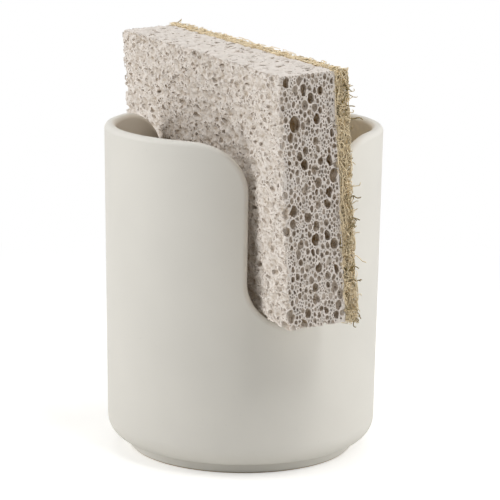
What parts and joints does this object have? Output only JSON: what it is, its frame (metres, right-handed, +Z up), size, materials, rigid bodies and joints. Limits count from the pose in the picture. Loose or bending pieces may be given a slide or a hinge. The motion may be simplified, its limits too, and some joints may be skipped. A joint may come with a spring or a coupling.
{
  "type": "sponge holder",
  "caption": "Round matte stoneware cup with opposite flared slots that hold a two-layer cellulose and fibre kitchen sponge on its long edge.",
  "frame": {"origin": "centre of the foot ring's underside, on the cup's axis", "axes": "+Z up along the cup's axis, +Y along the slots and the sponge's length towards its back end, +X across the sponge towards its scouring pad"},
  "size_m": [0.082, 0.1262, 0.1199],
  "materials": {
    "stoneware": "matte off-white glaze",
    "cellulose_sponge": "open-pored pale beige cellulose",
    "glue": "thin dried glue",
    "scouring_fibre": "tangled tan plant fibre"
  },
  "bodies": {
    "holder": {"holder_cup": "stoneware"},
    "sponge": {"sponge_block": "cellulose_sponge", "bond_film": "glue", "scour_pad": "scouring_fibre"}
  },
  "joints": [
    {"name": "sponge_lift", "type": "slide", "parent": "holder", "child": "sponge", "axis": [0, 0, 1], "range_m": [0, 0.06]}
  ]
}
